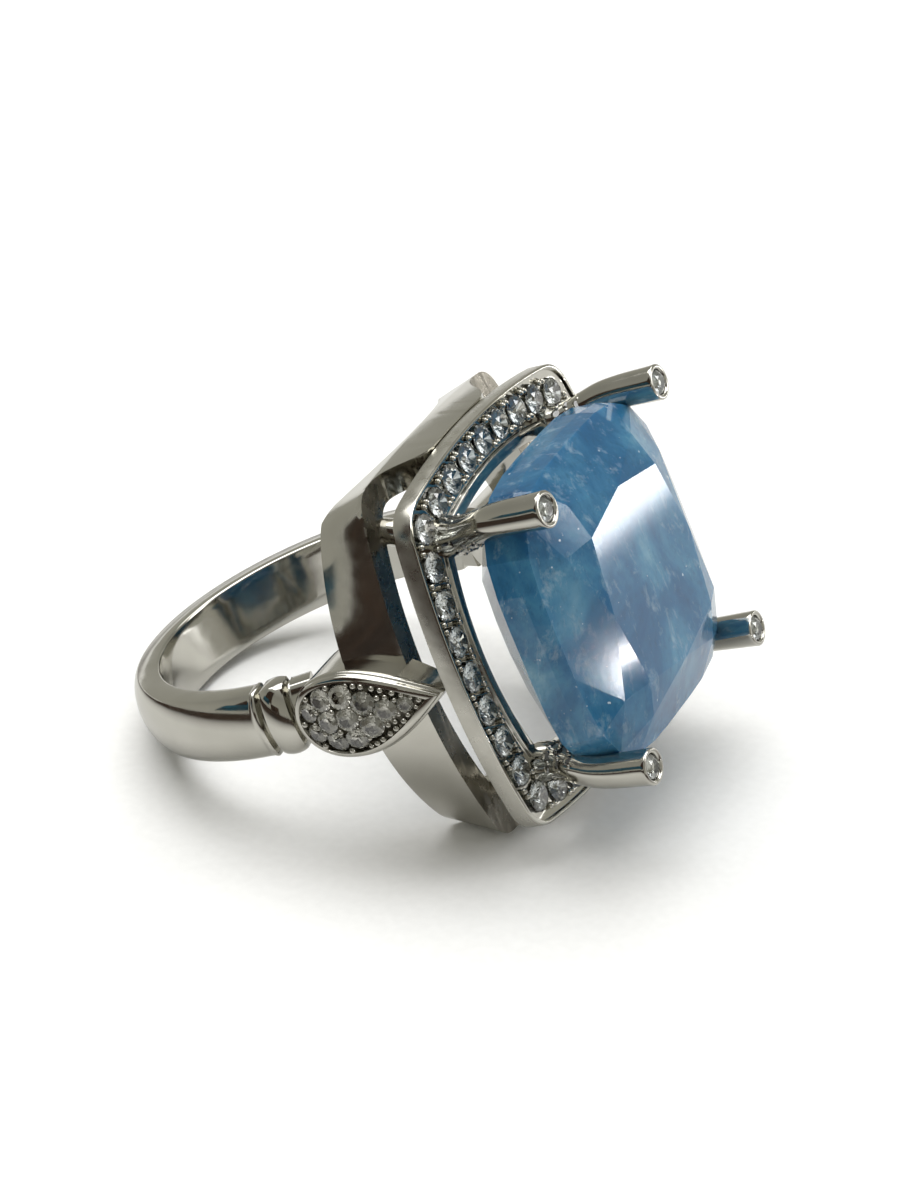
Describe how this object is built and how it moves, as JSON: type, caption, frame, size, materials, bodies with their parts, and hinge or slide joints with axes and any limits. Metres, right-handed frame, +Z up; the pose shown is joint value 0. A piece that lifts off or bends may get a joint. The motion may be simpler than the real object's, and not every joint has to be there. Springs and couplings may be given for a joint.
{
  "type": "cocktail ring",
  "caption": "Cocktail ring lying on its side: a cushion-cut blue stone held by four claws over an open square halo of small stones, on a domed band with pave leaf shoulders.",
  "frame": {"origin": "middle of the bounding box at the surface the ring lies on", "axes": "+X runs from the palm side of the band towards the big stone, +Z is up from the surface, Y runs across the two shoulders; the finger hole leans back from +Z by 22.3 degrees towards -X"},
  "size_m": [0.0292, 0.0216, 0.0189],
  "materials": {
    "metal": "mirror polished white metal",
    "blue_stone": "polished, milky translucent blue",
    "white_stone": "polished, clear"
  },
  "bodies": {
    "root": {"centre_stone": "blue_stone", "claw_far_lower": "metal", "claw_far_upper": "metal", "claw_near_lower": "metal", "claw_near_upper": "metal", "claw_stone_far_lower": "white_stone", "claw_stone_far_upper": "white_stone", "claw_stone_near_lower": "white_stone", "claw_stone_near_upper": "white_stone", "gallery": "metal", "halo": "metal", "halo_stone_01": "white_stone", "halo_stone_02": "white_stone", "halo_stone_03": "white_stone", "halo_stone_04": "white_stone", "halo_stone_05": "white_stone", "halo_stone_06": "white_stone", "halo_stone_07": "white_stone", "halo_stone_08": "white_stone", "halo_stone_09": "white_stone", "halo_stone_10": "white_stone", "halo_stone_11": "white_stone", "halo_stone_12": "white_stone", "halo_stone_13": "white_stone", "halo_stone_14": "white_stone", "halo_stone_15": "white_stone", "halo_stone_16": "white_stone", "halo_stone_17": "white_stone", "halo_stone_18": "white_stone", "halo_stone_19": "white_stone", "halo_stone_20": "white_stone", "halo_stone_21": "white_stone", "halo_stone_22": "white_stone", "halo_stone_23": "white_stone", "halo_stone_24": "white_stone", "halo_stone_25": "white_stone", "halo_stone_26": "white_stone", "halo_stone_27": "white_stone", "halo_stone_28": "white_stone", "halo_stone_29": "white_stone", "halo_stone_30": "white_stone", "halo_stone_31": "white_stone", "halo_stone_32": "white_stone", "shank": "metal", "shoulder_far": "metal", "shoulder_near": "metal", "shoulder_pave_far": "metal", "shoulder_pave_near": "metal"}
  },
  "joints": []
}
